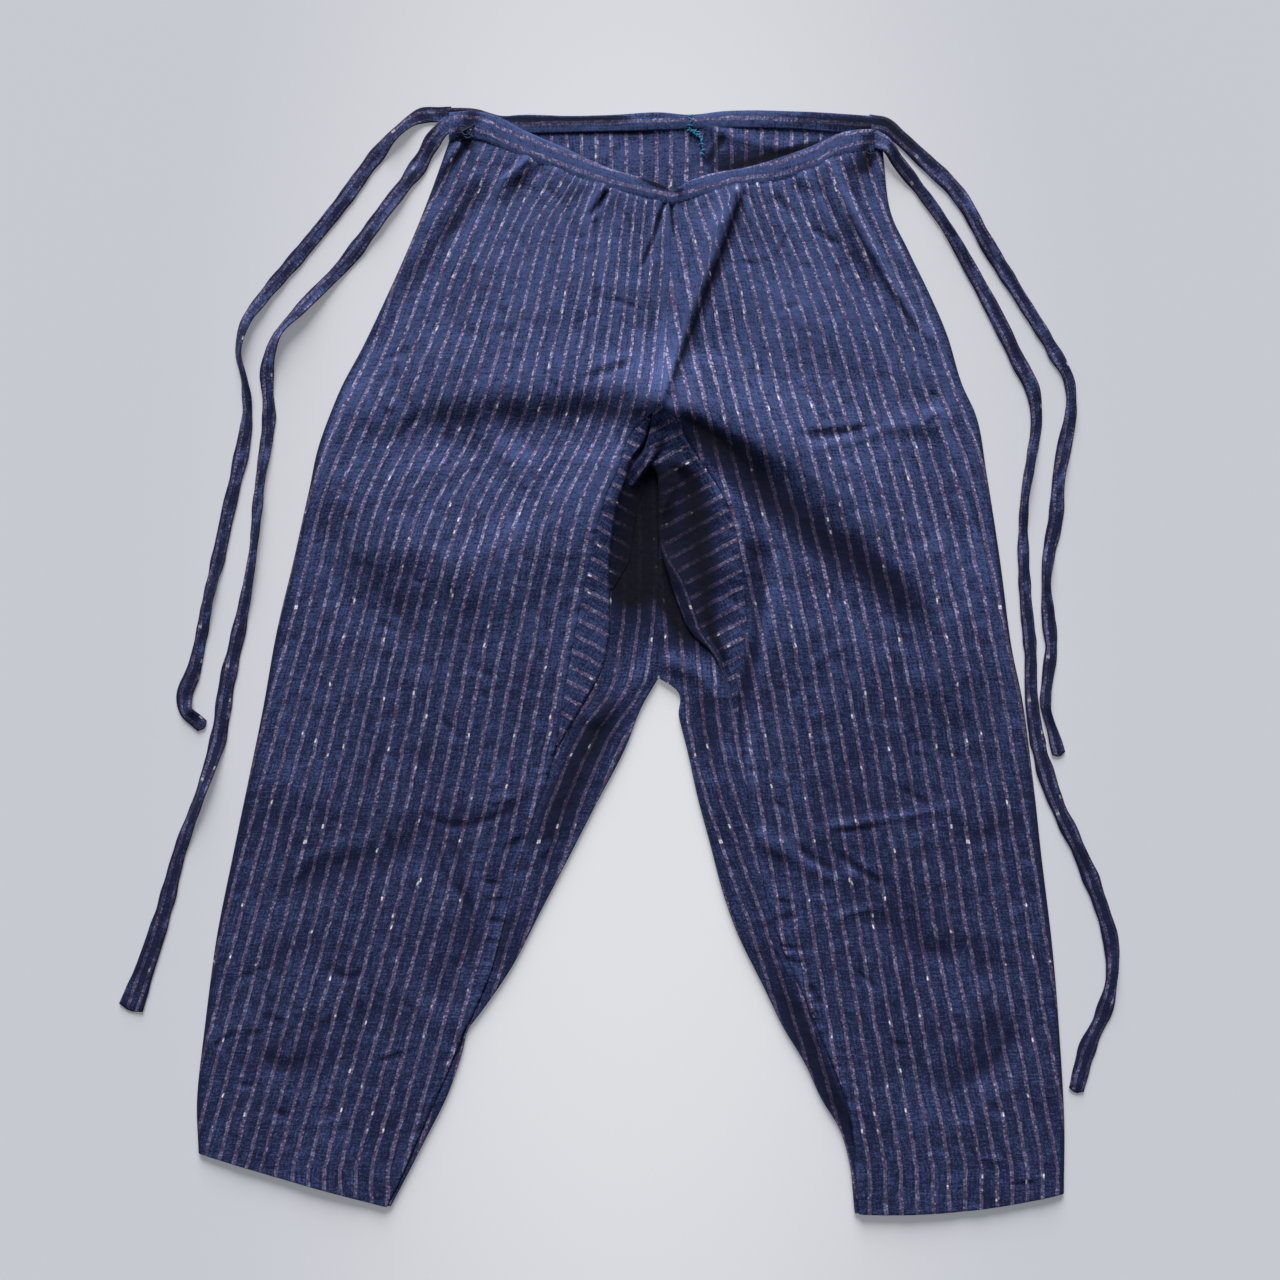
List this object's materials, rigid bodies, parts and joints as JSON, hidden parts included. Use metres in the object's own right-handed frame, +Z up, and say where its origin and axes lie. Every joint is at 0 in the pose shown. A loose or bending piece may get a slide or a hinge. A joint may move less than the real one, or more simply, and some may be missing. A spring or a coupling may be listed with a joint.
{
  "type": "monpe trousers",
  "caption": "Loose striped cotton monpe work trousers with front and back waist tapes, laid flat with the front up.",
  "frame": {"origin": "on the surface that the trousers lie on, under the middle of the trousers without their tapes", "axes": "+X across the garment to the picture's right, +Y from the hems to the waist, +Z up from the surface"},
  "size_m": [0.8419, 0.931, 0.0207],
  "materials": {
    "striped_cotton": "matte",
    "band_cotton": "matte"
  },
  "bodies": {
    "root": {"front_left": "striped_cotton", "front_right": "striped_cotton", "back_left": "striped_cotton", "back_right": "striped_cotton", "gusset_left": "striped_cotton", "gusset_right": "striped_cotton", "front_band": "band_cotton", "back_band": "band_cotton", "tie_front_left": "band_cotton", "tie_front_right": "band_cotton", "tie_back_left": "band_cotton", "tie_back_right": "band_cotton"}
  },
  "joints": []
}
